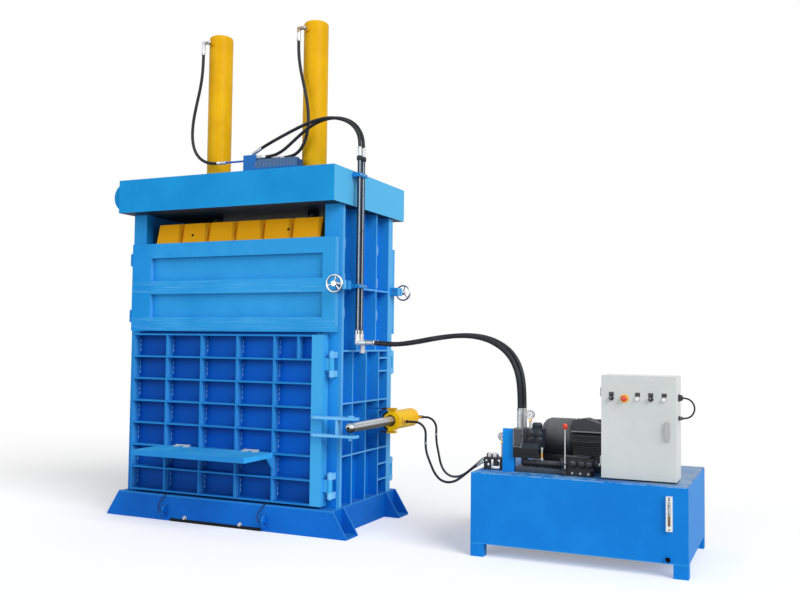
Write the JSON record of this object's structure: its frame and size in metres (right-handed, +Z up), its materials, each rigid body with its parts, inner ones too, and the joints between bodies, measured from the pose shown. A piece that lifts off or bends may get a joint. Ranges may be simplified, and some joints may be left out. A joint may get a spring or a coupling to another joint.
{
  "type": "recycling baler",
  "caption": "Vertical recycling baler with twin overhead rams, hinged chamber doors, a folding shelf and a separate hydraulic power unit joined by hoses.",
  "frame": {"origin": "on the floor under the middle of the pressing chamber", "axes": "+X along the front towards the power unit, +Y towards the back, +Z up"},
  "size_m": [4.9573, 1.7, 4.38],
  "materials": {
    "blue_paint": "semi-gloss",
    "yellow_paint": "semi-gloss",
    "rod_chrome": "polished",
    "bare_steel": "satin",
    "zinc_steel": "satin",
    "black_plastic": "matte",
    "black_rubber": "matte",
    "tread_plate": "satin",
    "white_plastic": "gloss",
    "motor_paint": "semi-gloss",
    "black_paint": "semi-gloss",
    "grey_paint": "semi-gloss",
    "switch_plastic": "matte",
    "wheel_chrome": "polished",
    "red_plastic": "gloss"
  },
  "bodies": {
    "frame": {"base_front_beam": "blue_paint", "base_rear_beam": "blue_paint", "base_floor": "blue_paint", "side_frame_left": "blue_paint", "side_frame_right": "blue_paint", "header_beam": "blue_paint", "lower_door_hinges": "blue_paint", "feed_door_hinges": "blue_paint", "header_manifold": "blue_paint", "trunnion_lugs": "blue_paint", "ram_cylinder_left": "yellow_paint", "ram_cylinder_right": "yellow_paint", "steel_pipes": "black_paint", "pipe_clamps": "blue_paint", "baler_fittings": "zinc_steel", "tether_wires": "black_rubber", "hose_ram_left": "black_rubber", "hose_ram_right": "black_rubber", "hose_supply_front": "black_rubber", "hose_supply_rear": "black_rubber", "hose_main_front": "black_rubber", "hose_main_rear": "black_rubber", "hose_door_upper": "black_rubber", "hose_door_lower": "black_rubber", "tank": "blue_paint", "tank_feet": "blue_paint", "tank_lid": "tread_plate", "level_gauge": "white_plastic", "pump_bracket": "blue_paint", "motor_and_pump": "motor_paint", "valve_block": "black_paint", "unit_fittings": "zinc_steel", "pressure_gauges": "zinc_steel", "hand_valve": "black_paint", "cabinet": "grey_paint", "cabinet_switchgear": "switch_plastic", "small_valve": "black_paint", "cabinet_cable_loop": "black_rubber"},
    "press": {"platen": "yellow_paint", "ram_rods": "rod_chrome"},
    "lower_front_door": {"lower_front_door": "blue_paint", "door_arm": "blue_paint", "shelf_brackets": "blue_paint"},
    "shelf": {"shelf": "blue_paint"},
    "door_cylinder": {"door_cylinder": "yellow_paint"},
    "door_rod": {"door_rod": "rod_chrome", "arm_pin": "bare_steel"},
    "lower_rear_door": {"lower_rear_door": "blue_paint"},
    "feed_door_front": {"feed_door_front": "blue_paint"},
    "feed_door_rear": {"feed_door_rear": "blue_paint"},
    "hand_wheel_front": {"hand_wheel_front": "wheel_chrome"},
    "hand_wheel_rear": {"hand_wheel_rear": "wheel_chrome"},
    "cabinet_door": {"cabinet_door": "grey_paint"},
    "cabinet_latch": {"cabinet_latch": "grey_paint"},
    "selector_left": {"selector_left": "black_plastic"},
    "stop_button": {"stop_button": "red_plastic"},
    "start_button": {"start_button": "white_plastic"},
    "selector_right": {"selector_right": "black_plastic"},
    "reset_button": {"reset_button": "white_plastic"},
    "valve_lever": {"valve_lever": "bare_steel"}
  },
  "joints": [
    {"name": "press_slide", "type": "slide", "parent": "frame", "child": "press", "axis": [0, 0, -1], "range_m": [0, 1.2]},
    {"name": "lower_front_door_hinge", "type": "hinge", "parent": "frame", "child": "lower_front_door", "pos_m": [1.024, -0.566, 0.9], "axis": [0, 0, 1], "range_deg": [0, 75]},
    {"name": "shelf_hinge", "type": "hinge", "parent": "lower_front_door", "child": "shelf", "pos_m": [0, -0.613, 0.648], "axis": [-1, 0, 0], "range_deg": [0, 90]},
    {"name": "door_cylinder_swivel", "type": "hinge", "parent": "frame", "child": "door_cylinder", "pos_m": [1.235, 0.125, 0.878], "axis": [0, 0, -1], "range_deg": [0, 10.6]},
    {"name": "door_rod_slide", "type": "slide", "parent": "door_cylinder", "child": "door_rod", "axis": [0, 1, 0], "range_m": [0, 0.246]},
    {"name": "lower_rear_door_hinge", "type": "hinge", "parent": "frame", "child": "lower_rear_door", "pos_m": [1.024, 0.566, 0.9], "axis": [0, 0, -1], "range_deg": [0, 100]},
    {"name": "feed_door_front_hinge", "type": "hinge", "parent": "frame", "child": "feed_door_front", "pos_m": [-1.035, -0.54, 2], "axis": [0, 0, -1], "range_deg": [0, 110]},
    {"name": "feed_door_rear_hinge", "type": "hinge", "parent": "frame", "child": "feed_door_rear", "pos_m": [-1.035, 0.54, 2], "axis": [0, 0, 1], "range_deg": [0, 110]},
    {"name": "hand_wheel_front_turn", "type": "hinge", "parent": "feed_door_front", "child": "hand_wheel_front", "pos_m": [1.09, -0.665, 2], "axis": [0, -1, 0], "continuous": true},
    {"name": "hand_wheel_rear_turn", "type": "hinge", "parent": "feed_door_rear", "child": "hand_wheel_rear", "pos_m": [1.09, 0.665, 2], "axis": [0, 1, 0], "continuous": true},
    {"name": "cabinet_door_hinge", "type": "hinge", "parent": "frame", "child": "cabinet_door", "pos_m": [3.143, -0.5133, 1], "axis": [0, 0, -1], "range_deg": [0, 110]},
    {"name": "cabinet_latch_turn", "type": "hinge", "parent": "cabinet_door", "child": "cabinet_latch", "pos_m": [3.595, -0.545, 1.008], "axis": [0, 1, 0], "range_deg": [0, 90]},
    {"name": "selector_left_turn", "type": "hinge", "parent": "cabinet_door", "child": "selector_left", "pos_m": [3.22, -0.545, 1.175], "axis": [0, 1, 0], "range_deg": [0, 90]},
    {"name": "stop_button_press", "type": "slide", "parent": "cabinet_door", "child": "stop_button", "axis": [0, 1, 0], "range_m": [0, 0.005]},
    {"name": "start_button_press", "type": "slide", "parent": "cabinet_door", "child": "start_button", "axis": [0, 1, 0], "range_m": [0, 0.004], "stiffness_N_per_m": 500},
    {"name": "selector_right_turn", "type": "hinge", "parent": "cabinet_door", "child": "selector_right", "pos_m": [3.487, -0.545, 1.175], "axis": [0, 1, 0], "range_deg": [0, 90]},
    {"name": "reset_button_press", "type": "slide", "parent": "cabinet_door", "child": "reset_button", "axis": [0, 1, 0], "range_m": [0, 0.004], "stiffness_N_per_m": 500},
    {"name": "valve_lever_tilt", "type": "hinge", "parent": "frame", "child": "valve_lever", "pos_m": [2.88, -0.474, 0.625], "axis": [0, 1, 0], "range_deg": [-15, 35]}
  ],
  "couplings": [
    {"joint": "door_cylinder_swivel", "follows": "lower_front_door_hinge", "ratio": 0.13873},
    {"joint": "door_rod_slide", "follows": "lower_front_door_hinge", "m_per_rad": 0.18664}
  ]
}
